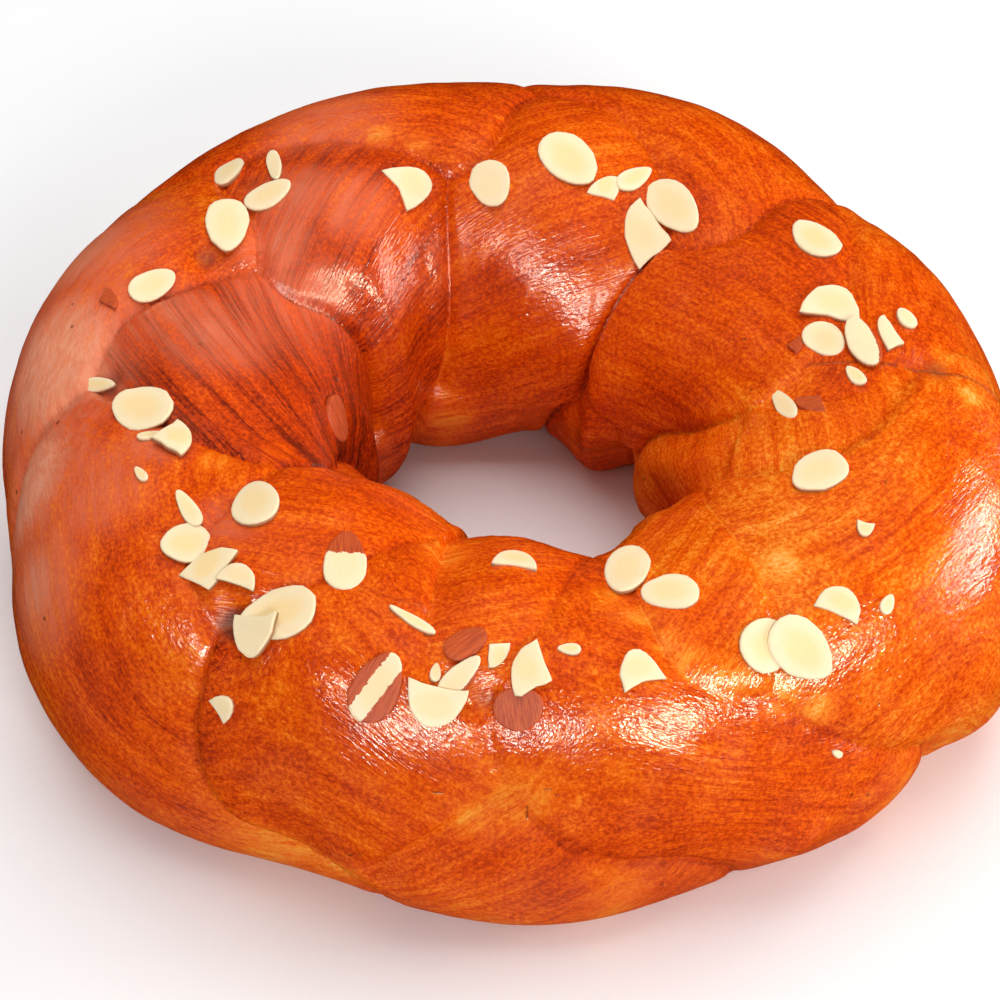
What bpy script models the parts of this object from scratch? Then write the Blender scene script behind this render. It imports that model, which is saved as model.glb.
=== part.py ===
"""A ring of three-strand braided sweet bread with flaked almonds fused to its crust.

Units are metres and +Z is up. The origin is the middle of the bread's outer size, on the surface
that it rests on. A ring angle is measured in degrees from +X, counter-clockwise seen from above. A section
angle goes round the rope of dough: 0 at its outer side, 90 at its top, 180 on the side of the hole.
"""

import math

import bmesh
import bpy
import numpy as np

MM = 0.001

# The rope of dough: its ring, and how far it reaches from its centre line at twelve places round
# the ring, every 30 degrees from +X, in millimetres.
RING_RADIUS = 104.0
RING_CENTRE = (0.6, -7.0)
REACH_OUTWARD = (55, 52, 58, 57, 56, 62, 53, 57, 47, 43, 45, 55)
REACH_INWARD = (60, 66, 69, 62, 58, 59, 61, 63, 64, 60, 52, 55)
REACH_UPWARD = (59, 59, 62, 68, 67, 68, 65, 64, 65, 62, 56, 59)
REACH_DOWNWARD = 40.5
CENTRE_HEIGHT = 35.5

# The squareness of the section, as the exponent of a superellipse, above and below its centre.
SQUARE_ABOVE = 2.3
SQUARE_BELOW = 3.2

# The braid. Eight lobes show on the outer side and eight on the inner side, in clockwise order.
# Each has the ring angle where it ends at the crest and where it ends at the foot, then how much
# its root, its middle and its tip are thicker (or thinner) than the strand.
LOBES = 8
OUTER_LOBES = (
    (267, 284, 0.0, 0.0, 0.0),  # front right
    (232, 244, 0.0, 0.0, -0.1),  # front left
    (183, 192, -0.3, 0.0, -0.3),  # left
    (137, 156, 0.0, 0.0, -0.3),  # back left, lower
    (86, 104, 0.0, 0.0, -0.1),  # back left, upper
    (39, 51, 0.0, 0.0, 0.0),  # back right
    (3, -16, 0.0, 0.0, -0.2),  # right, upper
    (-58, -40, 0.14, 0.18, 0.0),  # right, lower
)
INNER_LOBES = (
    (254, 268, 0.0, 0.0, 0.0),  # front
    (216, 195, 0.0, 0.0, 0.0),  # front left
    (155, 150, 0.0, 0.02, 0.0),  # left
    (105, 119, 0.0, 0.0, 0.04),  # back left
    (51, 63, 0.03, 0.0, 0.0),  # back
    (-8, 32, 0.0, 0.06, 0.15),  # back right
    (-40, -24, -0.1, 0.04, -0.75),  # right, where the last end is tucked in
    (-70, -56, 0.1, 0.12, 0.2),  # front right
)
ROOT, MIDDLE, TIP = (-60, 35), (0, 45), (75, 30)  # strand phase and spread of each, degrees

# A strand's path across the section and its own half sizes, as shares of the rope's half size.
PATH_ACROSS, PATH_UP = 0.50, 0.40
STRAND_ACROSS, STRAND_UP = 0.62, 0.60
PHASE_AT_FOOT, PHASE_AT_CREST = 60, 101  # strand phase of a seam
FLATTENING = 0.26  # how far the strands are pressed into one rope
MOST_SUNK = 0.5
CREASE_DEPTH, CREASE_WIDTH = 0.065, 0.06
SWELL_OUT = 0.25  # share of a thicker strand that also stands out
SWELL_BLEND = 0.1
LEVEL_CREST, LEVEL_CREST_CHANGE, LEVEL_CREST_TOWARDS = 0.35, 0.35, 135

# How deep the seams are at the same places round the ring: the dough has nearly run together at
# the crest and in front.
SEAMS_OUTWARD = (0.6, 0.8, 0.8, 0.6, 0.6, 0.7, 0.8, 0.8, 0.8, 0.55, 0.6, 0.9)
SEAMS_AT_CREST = (0.25, 0.5, 0.7, 0.7, 0.7, 0.8, 0.7, 0.6, 0.4, 0.25, 0.3, 0.35)
SEAMS_INWARD = (1.0, 1.0, 1.0, 0.9, 1.0, 1.0, 1.0, 0.8, 0.4, 0.3, 0.7, 1.0)

# Folds where a strand comes out from under another: middle (ring, section), turn of the line from
# the ring's direction, half its length and its step. The surface drops on the line's right.
FOLDS = (
    (261, 16, 39, 30, 3.5),  # below the front left lobe
    (45, 169, 138, 16, 4.0),  # below the back right lobe, in the hole
    (338, 126, 177, 18, 3.5),  # above the tucked end
)
FOLD_EDGE, FOLD_WIDTH = 4, 12

# Swellings and hollows of the uneven dough: ring, section, height and radius.
UNEVEN = (
    (222, 115, 4, 22),
    (180, 10, 2.5, 30),
    (245, 0, -2.5, 14),
    (258, -5, 2, 16),
    (45, 208, -7, 18),
    (290, 150, -3.5, 15),
    (302, -10, 4, 14),
)

# Pits where an outer seam meets the crest: ring, section, depth and radius.
PITS = (
    (233, 62, 4.5, 7),
    (184, 72, 3.5, 7),
    (267, 60, 2.5, 6),
    (0, 66, 3.0, 7),
    (137, 80, 2.5, 6),
    (157, 92, 3.0, 6),
)

# The mesh of the dough: made fine, then thinned to this many triangles, most of them at the creases.
RING_STEPS, SECTION_STEPS = 640, 192
SOFTENING = 3  # rounds of smoothing that take the edge off the creases
DOUGH_TRIANGLES = 8400
FLAT_BELOW = 0.1 * MM  # crust this near the surface below it lies on it

# The almond flakes: ring angle, section angle, length, width, turn from the ring's direction,
# shape, and how far each is lifted by another below it. Degrees and millimetres.
FLAKE_RISE, FLAKE_ROOT, FLAKE_INSET = 1.1, 1.8, 0.93
FLAKES = (
    # back left
    (137, 69, 17.5, 9.5, 38, "whole", 0),
    (133, 83.5, 16.5, 4.5, 58, "sliver", 0),
    (139, 93, 16.5, 10.5, 165, "whole", 0),
    (149.5, 91.5, 23.5, 13.5, 34, "whole", 1),
    (166.5, 81.5, 15.5, 9.5, 132, "whole", 0),
    (170, 70, 7, 5, 60, "corner", 0),
    # left
    (183.5, 67, 13, 4.5, 70, "sliver", 0),
    (192.5, 83.5, 19, 16, 230, "whole", 1.5),
    (199, 84, 8, 3, 86, "sliver", 0),
    (201.5, 91.5, 12.5, 12, 32, "corner", 1.5),
    (206.5, 77, 6.5, 3, 188, "sliver", 0),
    (216, 82.5, 14.5, 5, 172, "sliver", 0),
    (220.5, 74.5, 14, 12.5, 236, "whole", 0.5),
    (225.5, 74, 15, 11, 91, "corner", 0),
    (230.5, 76, 12, 6.5, 13, "half", 1),
    (222, 97.5, 20, 13.5, 143, "whole", 0),
    # front left
    (238.5, 71, 22, 15.5, 213, "whole", 0),
    (237.5, 61.5, 14, 12, 200, "half", 2),
    (236.5, 39, 7.5, 6.5, 322, "half", 0),
    (242, 97, 20, 12, 119, "whole", 0),
    (256, 83.5, 15, 3, 164, "sliver", 0),
    (254, 58, 20, 13, 75, "whole", 0),
    # front
    (261, 56, 16.5, 12, 177, "half", 1),
    (263.5, 65.5, 16.5, 6.5, 53, "whole", 0.5),
    (260.5, 66.5, 6, 3, 90, "sliver", 0),
    (264, 78, 13, 8, 42, "whole", 0),
    (268.5, 74.5, 7.5, 5.5, 271, "corner", 0),
    (272, 70, 13.5, 11, 108, "corner", 1),
    (271, 57, 12, 13.5, 279, "whole", 0),
    (278, 77, 6.5, 3.5, 173, "sliver", 0),
    (286.5, 68, 12.5, 10.5, 10, "half", 0),
    (271, 112.5, 12.5, 8.5, 354, "half", 0),
    # front right
    (292, 109.5, 23.5, 12.5, 240, "whole", 0),
    (296, 94.5, 16, 12.5, 158, "whole", 0),
    (304, 63.5, 17, 14.5, 6, "whole", 0),
    (307.5, 57.5, 20.5, 15.5, 291, "whole", 1),
    (315.5, 63, 13.5, 9, 301, "half", 0),
    (320, 54, 6, 4, 25, "sliver", 0),
    (325.5, 73.5, 5, 4.5, 115, "half", 0),
    (308, 20, 4, 2, 133, "sliver", 0),
    # right
    (331.5, 94.5, 18, 14, 158, "whole", 0),
    (349, 112.5, 15, 5.5, 28, "whole", 0),
    (348.5, 105, 8.5, 7.5, 100, "corner", 0),
    (356, 92, 8, 5, 39, "sliver", 0),
    (14, 93.5, 18.5, 14, 244, "half", 0.5),
    (5.5, 99.5, 14, 12, 209, "whole", 0),
    (3.5, 89, 21, 9.5, 9, "whole", 1),
    (6, 80.5, 14, 6, 16, "corner", 0),
    (9.5, 71.5, 9, 6, 7, "whole", 0),
    (4.5, 107, 4.5, 5, 211, "corner", 0),
    # back right and back
    (29.5, 85, 18.5, 13.5, 0, "whole", 0),
    (54, 105, 23.5, 14, 157, "whole", 1.5),
    (57, 117, 19.5, 14, 336, "corner", 0),
    (78, 106, 23, 17, 140, "whole", 0),
    (69, 109.5, 10, 9, 276, "corner", 0),
    (64.5, 102.5, 15, 7, 246, "sliver", 0),
    (95, 116.5, 17.5, 13, 106, "whole", 0),
    (112.5, 112, 15.5, 13.5, 101, "half", 0),
    # in the hollow of the left inner lobe
    (187, 144, 15, 13, 60, "whole", 0),
)


def clear_scene():
    for obj in list(bpy.data.objects):
        bpy.data.objects.remove(obj, do_unlink=True)


def smooth(share):
    """0 to 1 with level ends."""
    share = np.clip(share, 0, 1)
    return share * share * (3 - 2 * share)


def around(sizes, ring):
    """A size given at even places round the ring, at any ring angle, through a smooth curve."""
    place = (ring / 360 * len(sizes)) % len(sizes)
    start = np.floor(place).astype(int)
    t = place - start
    values = np.array(sizes, float)
    a, b, c, d = (values[(start + step) % len(sizes)] for step in (-1, 0, 1, 2))
    return b + 0.5 * t * (c - a + t * (2 * a - 5 * b + 4 * c - d + t * (3 * (b - c) + d - a)))


def rising(x, knots, values):
    """A curve through the knots that never turns back between them."""
    steps = np.diff(knots)
    slopes = np.diff(values) / steps
    inner = 2 * slopes[:-1] * slopes[1:] / (slopes[:-1] + slopes[1:])
    ends = 0.5 * (slopes[0] + slopes[-1])
    grade = np.concatenate([[ends], inner, [ends]])
    i = np.clip(np.searchsorted(knots, x) - 1, 0, len(steps) - 1)
    t = (x - knots[i]) / steps[i]
    start = values[i] * (1 + 2 * t) + grade[i] * steps[i] * t
    end = values[i + 1] * (3 - 2 * t) + grade[i + 1] * steps[i] * (t - 1)
    return start * (1 - t) ** 2 + end * t * t


def lobe_number(ring, lobe_ends, first):
    """How many lobes lie between the first one's end and this ring angle, going clockwise."""
    ends = -np.array(lobe_ends, float)
    knots = np.concatenate([ends - 360, ends, ends + 360])
    return rising(-ring, knots, first + np.arange(-LOBES, 2 * LOBES, dtype=float))


def braid_place(ring, section):
    """The number of lobes passed, and the strand phase of a seam, at a place on the rope."""
    outer = smooth(0.5 + np.cos(section) / 1.2)
    crest = smooth(np.sin(section) / 0.75)
    rows = []
    for lobes, first in ((OUTER_LOBES, 0.0), (INNER_LOBES, 0.5)):
        at_crest = lobe_number(ring, [lobe[0] for lobe in lobes], first)
        at_foot = lobe_number(ring, [lobe[1] for lobe in lobes], first)
        rows.append(crest * at_crest + (1 - crest) * at_foot)
    passed = outer * rows[0] + (1 - outer) * rows[1]
    return passed, crest * PHASE_AT_CREST + (1 - crest) * PHASE_AT_FOOT


def lobe_swell(phase, strand, with_tips):
    """How much thicker than the rest a strand is at this phase, from the lobe it forms there."""
    total = 0
    for lobes, half_turn, shift in ((OUTER_LOBES, 0, 0), (INNER_LOBES, 180, 1)):
        turns = np.round((phase - half_turn) / 360)
        lobe = (3 * turns + shift - strand).astype(int) % LOBES
        along = phase - half_turn - 360 * turns
        for column, (middle, spread) in zip((2, 3, 4), (ROOT, MIDDLE, TIP)):
            if column < 4 or with_tips:
                swell = np.array([row[column] for row in lobes])[lobe]
                total = total + swell * np.exp(-(((along - middle) / spread) ** 2))
    return total


def strand_reach(phase, strand, section):
    """How far a strand reaches from the rope's centre line in the direction of this section angle.

    The strand is an ellipse in the section. Where the direction misses it, the reach falls off
    evenly below zero.
    """
    swell = 1 + lobe_swell(phase, strand, True)
    half_x, half_z = STRAND_ACROSS * swell, STRAND_UP * swell
    dx, dz = np.cos(section) / half_x, np.sin(section) / half_z
    x = PATH_ACROSS * np.cos(np.radians(phase)) / half_x
    z = PATH_UP * np.sin(2 * np.radians(phase)) / half_z
    square = dx * dx + dz * dz
    along = dx * x + dz * z
    rest = along * along - square * (x * x + z * z - 1)
    return (along + np.sign(rest) * np.sqrt(np.abs(rest))) / square


def superellipse(section, exponent):
    side = np.abs(np.cos(section)) ** exponent + np.abs(np.sin(section)) ** exponent
    return side ** (-1 / exponent)


def bell(distance, spread):
    return np.exp(-((distance / spread) ** 2))


def seam_depth(ring, section):
    """How deep the seams are at a place on the rope, as a share."""
    outer = smooth(0.5 + np.cos(section) / 1.2)
    crest = smooth(np.sin(section) * 1.6 - 0.5)
    side = outer * around(SEAMS_OUTWARD, ring) + (1 - outer) * around(SEAMS_INWARD, ring)
    return side + crest * (around(SEAMS_AT_CREST, ring) - side)


def away_from(ring, section, place_ring, place_section):
    """Millimetres along the ring and up the section from a place on the rope."""
    turn = (ring - place_ring + 180) % 360 - 180
    radius = RING_RADIUS + 0.5 * (REACH_OUTWARD[0] + REACH_INWARD[0]) * np.cos(np.radians(section))
    climb = (section - place_section + 180) % 360 - 180
    return np.radians(turn) * radius, np.radians(climb) * REACH_UPWARD[0]


def pit_depth(ring, section):
    total = 0
    for place_ring, place_section, depth, radius in PITS:
        away = np.hypot(*away_from(ring, section, place_ring, place_section))
        total = total + depth * bell(away, radius)
    return total


def uneven_height(ring, section):
    """Height of the folds, swellings and pits that belong to no one lobe, in millimetres."""
    height = -pit_depth(ring, section)
    for place_ring, place_section, rise, radius in UNEVEN:
        away = np.hypot(*away_from(ring, section, place_ring, place_section))
        height = height + rise * bell(away, radius)
    for place_ring, place_section, turn, half_length, step in FOLDS:
        u, v = away_from(ring, section, place_ring, place_section)
        cos, sin = math.cos(math.radians(turn)), math.sin(math.radians(turn))
        along, right = u * cos + v * sin, u * sin - v * cos
        ends = smooth((half_length - np.abs(along)) / 8)
        below = smooth(0.5 + right / FOLD_EDGE) * np.exp(-np.maximum(right, 0) / FOLD_WIDTH)
        height = height - step * ends * below
    return height


def rope_surface(ring, section_degrees):
    """Points on the crust, in metres, for arrays of ring and section angles in degrees."""
    section = np.radians(section_degrees)
    above = np.sin(section) > 0
    towards = np.radians(ring - LEVEL_CREST_TOWARDS)
    level = LEVEL_CREST + LEVEL_CREST_CHANGE * np.cos(towards)
    drawn = section + np.where(above, -0.5 * level * np.sin(2 * section), 0)
    passed, seam_phase = braid_place(ring, drawn)
    phases = [120 * passed + seam_phase + 120 * strand for strand in range(3)]
    reaches = np.stack([strand_reach(p, k, drawn) for k, p in enumerate(phases)])
    swells = np.stack([lobe_swell(p, k, False) for k, p in enumerate(phases)])
    order = np.argsort(-reaches, axis=0)
    top = np.take_along_axis(reaches, order[:1], 0)[0]
    second = np.take_along_axis(reaches, order[1:2], 0)[0]
    swell_top = np.take_along_axis(swells, order[:1], 0)[0]
    swell_second = np.take_along_axis(swells, order[1:2], 0)[0]
    blend = 0.5 + 0.5 * smooth((top - second) / SWELL_BLEND)
    swell = swell_second + (swell_top - swell_second) * blend
    sunk = 1.08 - top / superellipse(section, SQUARE_ABOVE)
    sunk = FLATTENING * MOST_SUNK * np.tanh(sunk / MOST_SUNK)
    crease = CREASE_DEPTH * np.exp((second - top) / CREASE_WIDTH)
    share = 1 + SWELL_OUT * swell - seam_depth(ring, drawn) * (sunk + crease)
    share *= superellipse(section, np.where(above, SQUARE_ABOVE, SQUARE_BELOW))
    outward = np.cos(section) > 0
    reach = np.where(outward, around(REACH_OUTWARD, ring), around(REACH_INWARD, ring))
    uneven = uneven_height(ring, section_degrees)
    radius = RING_RADIUS + (reach * share + uneven) * np.cos(section)
    reach_up = np.where(above, around(REACH_UPWARD, ring), REACH_DOWNWARD)
    height = np.maximum(CENTRE_HEIGHT + (reach_up * share + uneven) * np.sin(section), 0)
    angle = np.radians(ring)
    x = RING_CENTRE[0] + radius * np.cos(angle)
    y = RING_CENTRE[1] + radius * np.sin(angle)
    return MM * np.stack([x, y, height], -1)


def add_object(name, points, faces):
    mesh = bpy.data.meshes.new(name)
    mesh.from_pydata([tuple(point) for point in points], [], faces)
    mesh.update()
    obj = bpy.data.objects.new(name, mesh)
    bpy.context.scene.collection.objects.link(obj)
    return obj


def apply_modifier(obj, modifier):
    bpy.context.view_layer.objects.active = obj
    bpy.ops.object.modifier_apply(modifier=modifier.name)


def add_dough():
    ring = np.arange(RING_STEPS) * 360 / RING_STEPS
    section = np.arange(SECTION_STEPS) * 360 / SECTION_STEPS
    points = rope_surface(*np.meshgrid(ring, section, indexing="ij"))
    faces = []
    for i in range(RING_STEPS):
        here, after = i * SECTION_STEPS, (i + 1) % RING_STEPS * SECTION_STEPS
        for j in range(SECTION_STEPS):
            up = (j + 1) % SECTION_STEPS
            faces.append((here + j, after + j, after + up))
            faces.append((here + j, after + up, here + up))
    dough = add_object("bread", points.reshape(-1, 3), faces)
    soften = dough.modifiers.new("soften", "SMOOTH")
    soften.iterations = SOFTENING
    apply_modifier(dough, soften)
    thin = dough.modifiers.new("thin", "DECIMATE")
    thin.ratio = DOUGH_TRIANGLES / len(faces)
    apply_modifier(dough, thin)
    return dough


def resting_frame(ring, section, size):
    """Centre and axes of a stiff flake that rests on the crust: along the ring, across, and out."""
    step = 0.3 * size
    ring_step = math.degrees(step / RING_RADIUS)
    section_step = math.degrees(step / REACH_UPWARD[0])
    rings = np.array([ring, ring - ring_step, ring + ring_step, ring, ring], float)
    sections = np.array([section, section, section, section - section_step, section + section_step])
    points = rope_surface(rings, sections.astype(float))
    along = points[2] - points[1]
    across = points[4] - points[3]
    out = np.cross(along, across)
    out /= np.linalg.norm(out)
    along /= np.linalg.norm(along)
    return 0.5 * points[0] + 0.125 * points[1:].sum(axis=0), along, np.cross(out, along), out


def flake_outline(shape, length, width):
    """Corners of a flake, counter-clockwise: a whole slice or one of the shapes it breaks into."""
    if shape == "half":
        turns = np.linspace(0, math.pi, 8)
        return np.cos(turns) * length / 2, (np.sin(turns) - 0.5) * width
    if shape == "corner":
        turns = np.linspace(0, math.pi / 2, 6)
        x = np.append(np.cos(turns) - 0.5, -0.4) * length
        return x, np.append(np.sin(turns) - 0.5, -0.5) * width
    corners = 7 if shape == "sliver" else 11
    turns = np.arange(corners) * 2 * math.pi / corners
    point = 0.18 * np.cos(turns)
    return np.cos(turns) * length / 2, np.sin(turns) * (1 - point) * width / 2


def add_flake(ring, section, length, width, turn, shape, lift):
    centre, along, across, out = resting_frame(ring, section, 0.5 * (length + width))
    x, y = flake_outline(shape, length, width)
    cos, sin = math.cos(math.radians(turn)), math.sin(math.radians(turn))
    points = []
    for scale, height in ((1, lift - FLAKE_ROOT), (FLAKE_INSET, lift + FLAKE_RISE)):
        for px, py in zip(x * scale, y * scale):
            place = (px * cos - py * sin) * along + (px * sin + py * cos) * across + height * out
            points.append(centre + MM * place)
    count = len(x)
    faces = [tuple(reversed(range(count))), tuple(range(count, 2 * count))]
    for i in range(count):
        after = (i + 1) % count
        faces.append((i, after, after + count, i + count))
    return add_object("flake", points, faces)


def fuse(base, pieces):
    """Joins the pieces to the base in one union, and removes them."""
    group = bpy.data.collections.new("pieces")
    bpy.context.scene.collection.children.link(group)
    for piece in pieces:
        bpy.context.scene.collection.objects.unlink(piece)
        group.objects.link(piece)
    union = base.modifiers.new("fuse", "BOOLEAN")
    union.operation = "UNION"
    union.operand_type = "COLLECTION"
    union.collection = group
    union.solver = "EXACT"
    apply_modifier(base, union)
    for piece in pieces:
        bpy.data.objects.remove(piece, do_unlink=True)
    bpy.data.collections.remove(group)


def shells_of(mesh):
    """The closed surfaces of a mesh, as lists of faces joined edge to edge."""
    left = set(mesh.faces)
    shells = []
    while left:
        shell = []
        waiting = [left.pop()]
        while waiting:
            face = waiting.pop()
            shell.append(face)
            for edge in face.edges:
                for other in edge.link_faces:
                    if other in left and len(edge.link_faces) == 2:
                        left.remove(other)
                        waiting.append(other)
        shells.append(shell)
    return shells


def keep_outer_shell(obj):
    """Keeps the largest closed surface, so that no sealed hollow or loose scrap is left."""
    mesh = bmesh.new()
    mesh.from_mesh(obj.data)
    for shell in sorted(shells_of(mesh), key=len)[:-1]:
        bmesh.ops.delete(mesh, geom=shell, context="FACES")
    bmesh.ops.remove_doubles(mesh, verts=mesh.verts, dist=0.02 * MM)
    bmesh.ops.dissolve_degenerate(mesh, edges=mesh.edges, dist=0.02 * MM)
    bmesh.ops.triangulate(mesh, faces=mesh.faces)
    for shell in sorted(shells_of(mesh), key=len)[:-1]:
        bmesh.ops.delete(mesh, geom=shell, context="FACES")
    for vertex in mesh.verts:
        if vertex.co.z < FLAT_BELOW:
            vertex.co.z = 0
    mesh.to_mesh(obj.data)
    mesh.free()


def set_material(obj, name, color, roughness):
    material = bpy.data.materials.new(name)
    material.use_nodes = True
    shader = material.node_tree.nodes["Principled BSDF"]
    shader.inputs["Base Color"].default_value = (*color, 1)
    shader.inputs["Roughness"].default_value = roughness
    obj.data.materials.clear()
    obj.data.materials.append(material)


def main():
    clear_scene()
    bread = add_dough()
    fuse(bread, [add_flake(*flake) for flake in FLAKES])
    keep_outer_shell(bread)
    set_material(bread, "bread", (0.62, 0.24, 0.07), 0.4)


main()
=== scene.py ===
"""Looks of a ring of braided sweet bread: glazed crust, flaked almonds, floor, light and camera.

The crust is made by the same functions as the solid, finer and with small relief, and the almonds
lie in the same places as the flakes fused to the solid. Sizes are in millimetres until a mesh is
made, ring angles are degrees from +X, counter-clockwise from above, and section angles go round
the rope of dough: 0 at its outer side, 90 at its top, 180 on the side of the hole.
"""

import math
from types import SimpleNamespace

import bpy
import numpy as np
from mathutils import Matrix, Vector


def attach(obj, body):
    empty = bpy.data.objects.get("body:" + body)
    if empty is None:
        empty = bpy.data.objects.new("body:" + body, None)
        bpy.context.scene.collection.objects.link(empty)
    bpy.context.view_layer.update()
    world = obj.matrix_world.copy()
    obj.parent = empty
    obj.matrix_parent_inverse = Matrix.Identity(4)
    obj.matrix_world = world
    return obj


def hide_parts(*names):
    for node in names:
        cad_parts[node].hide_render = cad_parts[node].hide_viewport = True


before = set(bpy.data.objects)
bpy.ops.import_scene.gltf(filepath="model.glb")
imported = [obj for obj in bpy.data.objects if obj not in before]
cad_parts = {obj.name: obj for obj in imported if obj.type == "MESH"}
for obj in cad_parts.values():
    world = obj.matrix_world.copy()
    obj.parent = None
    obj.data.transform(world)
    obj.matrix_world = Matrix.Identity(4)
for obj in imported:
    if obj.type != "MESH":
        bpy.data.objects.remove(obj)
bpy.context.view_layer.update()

MM = 0.001

# ---------------------------------------------------------------- sizes of the dough

RING_RADIUS = 104.0
RING_CENTRE = (0.6, -7.0)
REACH_OUTWARD = (55, 52, 58, 57, 56, 62, 53, 57, 47, 43, 45, 55)
REACH_INWARD = (60, 66, 69, 62, 58, 59, 61, 63, 64, 60, 52, 55)
REACH_UPWARD = (59, 59, 62, 68, 67, 68, 65, 64, 65, 62, 56, 59)
REACH_DOWNWARD = 40.5
CENTRE_HEIGHT = 35.5
SQUARE_ABOVE, SQUARE_BELOW = 2.3, 3.2

# The braid's lobes in clockwise order: where each ends at the crest and at the foot, how much its
# root, middle and tip are thicker than the strand, and how dark it is baked. The last value of an
# inner lobe is how far its streaks turn from the ring's direction.
LOBES = 8
OUTER_LOBES = (
    (267, 284, 0.0, 0.0, 0.0, 0.52),  # front right
    (232, 244, 0.0, 0.0, -0.1, 0.52),  # front left
    (183, 192, -0.3, 0.0, -0.3, 0.52),  # left
    (137, 156, 0.0, 0.0, -0.3, 0.52),  # back left, lower
    (86, 104, 0.0, 0.0, -0.1, 0.55),  # back left, upper
    (39, 51, 0.0, 0.0, 0.0, 0.56),  # back right
    (3, -16, 0.0, 0.0, -0.2, 0.50),  # right, upper
    (-58, -40, 0.14, 0.18, 0.0, 0.42),  # right, lower
)
INNER_LOBES = (
    (254, 268, 0.0, 0.0, 0.0, 0.48, 25),  # front
    (216, 195, 0.0, 0.0, 0.0, 0.52, 32),  # front left
    (155, 150, 0.0, 0.02, 0.0, 0.73, 46),  # left
    (105, 119, 0.0, 0.0, 0.04, 0.63, 40),  # back left
    (51, 63, 0.03, 0.0, 0.0, 0.54, 50),  # back
    (-8, 32, 0.0, 0.06, 0.15, 0.58, 28),  # back right
    (-40, -24, -0.1, 0.04, -0.75, 0.4, 30),  # right, where the last end is tucked in
    (-70, -56, 0.1, 0.12, 0.2, 0.46, 35),  # front right
)
ROOT, MIDDLE, TIP = (-60, 35), (0, 45), (75, 30)
PATH_ACROSS, PATH_UP = 0.50, 0.40
STRAND_ACROSS, STRAND_UP = 0.62, 0.60
PHASE_AT_FOOT, PHASE_AT_CREST = 60, 101
FLATTENING, MOST_SUNK = 0.26, 0.5
CREASE_DEPTH, CREASE_WIDTH = 0.065, 0.06
SWELL_OUT, SWELL_BLEND = 0.25, 0.1
LEVEL_CREST, LEVEL_CREST_CHANGE, LEVEL_CREST_TOWARDS = 0.35, 0.35, 135

# How deep the seams are at the same places round the ring: the dough has nearly run together at
# the crest and in front.
SEAMS_OUTWARD = (0.6, 0.8, 0.8, 0.6, 0.6, 0.7, 0.8, 0.8, 0.8, 0.55, 0.6, 0.9)
SEAMS_AT_CREST = (0.25, 0.5, 0.7, 0.7, 0.7, 0.8, 0.7, 0.6, 0.4, 0.25, 0.3, 0.35)
SEAMS_INWARD = (1.0, 1.0, 1.0, 0.9, 1.0, 1.0, 1.0, 0.8, 0.4, 0.3, 0.7, 1.0)

# Folds where a strand comes out from under another: middle (ring, section), turn of the line from
# the ring's direction, half its length and its step. The surface drops on the line's right.
FOLDS = (
    (261, 16, 39, 30, 3.5),  # below the front left lobe
    (45, 169, 138, 16, 4.0),  # below the back right lobe, in the hole
    (338, 126, 177, 18, 3.5),  # above the tucked end
)
FOLD_EDGE, FOLD_WIDTH = 4, 12

# Swellings and hollows of the uneven dough: ring, section, height and radius.
UNEVEN = (
    (222, 115, 4, 22),
    (180, 10, 2.5, 30),
    (245, 0, -2.5, 14),
    (258, -5, 2, 16),
    (45, 208, -7, 18),
    (290, 150, -3.5, 15),
    (302, -10, 4, 14),
)

# Pits where an outer seam meets the crest: ring, section, depth and radius.
PITS = (
    (233, 62, 4.5, 7),
    (184, 72, 3.5, 7),
    (267, 60, 2.5, 6),
    (0, 66, 3.0, 7),
    (137, 80, 2.5, 6),
    (157, 92, 3.0, 6),
)

# Short cracks in the glaze: middle (ring, section), turn from the ring's direction and half the
# length. Before them, how far and how fast they waver, and the distance where none is near.
CRACK_WAVER, CRACK_WAVES, NONE_NEAR = 0.3, 1.1, 20.0
CRACKS = (
    (272, 25, 82, 3.0),
    (274, 33, 150, 5.0),
    (262, 31, 160, 3.0),
    (253, 4, 30, 4.0),
    (334, 76, 20, 4.0),
    (233, 58, 70, 5.0),
    (184, 68, 80, 5.0),
)

STRAND_MM_PER_DEGREE = 0.75  # length of strand for each degree of its phase
STRAND_SHIFT = 400  # keeps the streaks of one strand unlike those of the next

# Streaks on the inner lobes: how fast they bend per millimetre, the phase at the middle of a lobe
# and how far from it they reach, and the section angle of the lobes' middle.
STREAK_BEND = -0.003
INNER_PHASE, INNER_HALF_LENGTH = 20, 90
INNER_SECTION = 120
LOBE_SHIFT = 40.0  # keeps the streaks of one lobe unlike those of the next

# The end below the first fold: turn of its streaks, and the part of the crust that it covers.
TURNED_STREAKS = 38
TUCKED_STRAND, TUCKED_BELOW = 2, 42
TUCKED_RINGS = (245, 290)

RING_STEPS, CRUST_STEPS, BASE_STEPS = 560, 142, 18
CRUST_FROM, CRUST_TO = -50, 230  # section angles of the crust that the base doesn't hide

# Small relief of the crust: height in millimetres and how many millimetres one swelling takes.
LUMPS = ((0.55, 24.0, 1), (0.25, 9.0, 2))
STRETCH_HEIGHT, STRETCH_SIZE = 0.22, (38.0, 5.0, 5.0)
TORN_HEIGHT, TORN_SIZE = 0.5, 2.6

# Where the dough stretched between the lobes it is pale: strand phase, spread and strength.
STRETCHED_PHASE, STRETCHED_SPREAD, STRETCHED_SHARE = -52, 16, 0.6

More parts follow.
